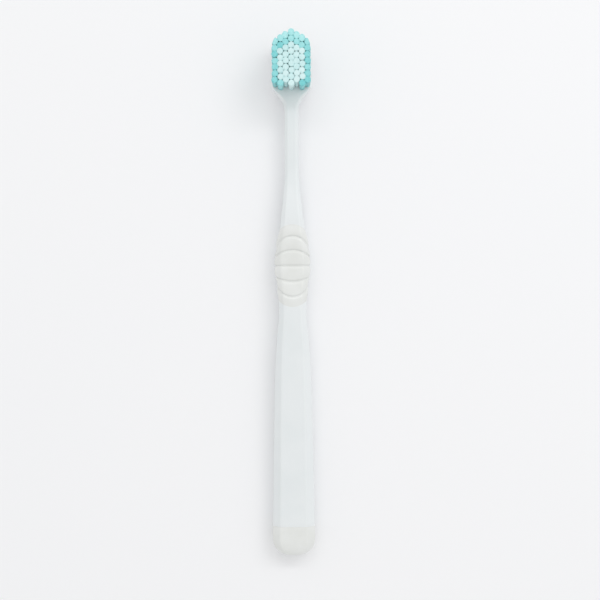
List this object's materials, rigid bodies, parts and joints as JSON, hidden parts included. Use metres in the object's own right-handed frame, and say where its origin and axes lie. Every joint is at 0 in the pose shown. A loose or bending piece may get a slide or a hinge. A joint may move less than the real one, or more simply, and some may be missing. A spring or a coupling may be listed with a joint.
{
  "type": "manual toothbrush",
  "caption": "Manual toothbrush with a slim neck, a faceted handle, a grooved soft thumb grip and end cap, and a dense bristle field with a coloured outer ring.",
  "frame": {"origin": "on the flat back that the brush lies on, under the middle of the thumb grip", "axes": "+Z the way the bristles point, +Y along the brush towards the head, +X across it"},
  "size_m": [0.0152, 0.1868, 0.0197],
  "materials": {
    "handle_plastic": "moulded cool white polypropylene, smooth satin",
    "soft_grip": "warm off-white moulded soft grip material, matt",
    "anchor_metal": "bare flattened wire",
    "turquoise_bristle": "turquoise translucent filaments with rounded ends",
    "white_bristle": "white translucent filaments with rounded ends"
  },
  "bodies": {
    "root": {"handle_core": "handle_plastic", "thumb_grip": "soft_grip", "end_cap": "soft_grip", "tuft_anchors": "anchor_metal", "tuft_a1": "turquoise_bristle", "tuft_a2": "turquoise_bristle", "tuft_a3": "turquoise_bristle", "tuft_a4": "turquoise_bristle", "tuft_a5": "turquoise_bristle", "tuft_a6": "turquoise_bristle", "tuft_a7": "turquoise_bristle", "tuft_b1": "turquoise_bristle", "tuft_b2": "white_bristle", "tuft_b3": "white_bristle", "tuft_b4": "white_bristle", "tuft_b5": "white_bristle", "tuft_b6": "white_bristle", "tuft_b7": "turquoise_bristle", "tuft_b8": "turquoise_bristle", "tuft_c1": "white_bristle", "tuft_c2": "white_bristle", "tuft_c3": "white_bristle", "tuft_c4": "white_bristle", "tuft_c5": "white_bristle", "tuft_c6": "white_bristle", "tuft_c7": "turquoise_bristle", "tuft_c8": "turquoise_bristle", "tuft_d1": "white_bristle", "tuft_d2": "white_bristle", "tuft_d3": "white_bristle", "tuft_d4": "white_bristle", "tuft_d5": "white_bristle", "tuft_d6": "white_bristle", "tuft_d7": "white_bristle", "tuft_d8": "turquoise_bristle", "tuft_d9": "turquoise_bristle", "tuft_e1": "white_bristle", "tuft_e2": "white_bristle", "tuft_e3": "white_bristle", "tuft_e4": "white_bristle", "tuft_e5": "white_bristle", "tuft_e6": "white_bristle", "tuft_e7": "turquoise_bristle", "tuft_e8": "turquoise_bristle", "tuft_f1": "turquoise_bristle", "tuft_f2": "white_bristle", "tuft_f3": "white_bristle", "tuft_f4": "white_bristle", "tuft_f5": "white_bristle", "tuft_f6": "white_bristle", "tuft_f7": "turquoise_bristle", "tuft_f8": "turquoise_bristle", "tuft_g1": "turquoise_bristle", "tuft_g2": "turquoise_bristle", "tuft_g3": "turquoise_bristle", "tuft_g4": "turquoise_bristle", "tuft_g5": "turquoise_bristle", "tuft_g6": "turquoise_bristle", "tuft_g7": "turquoise_bristle"}
  },
  "joints": []
}
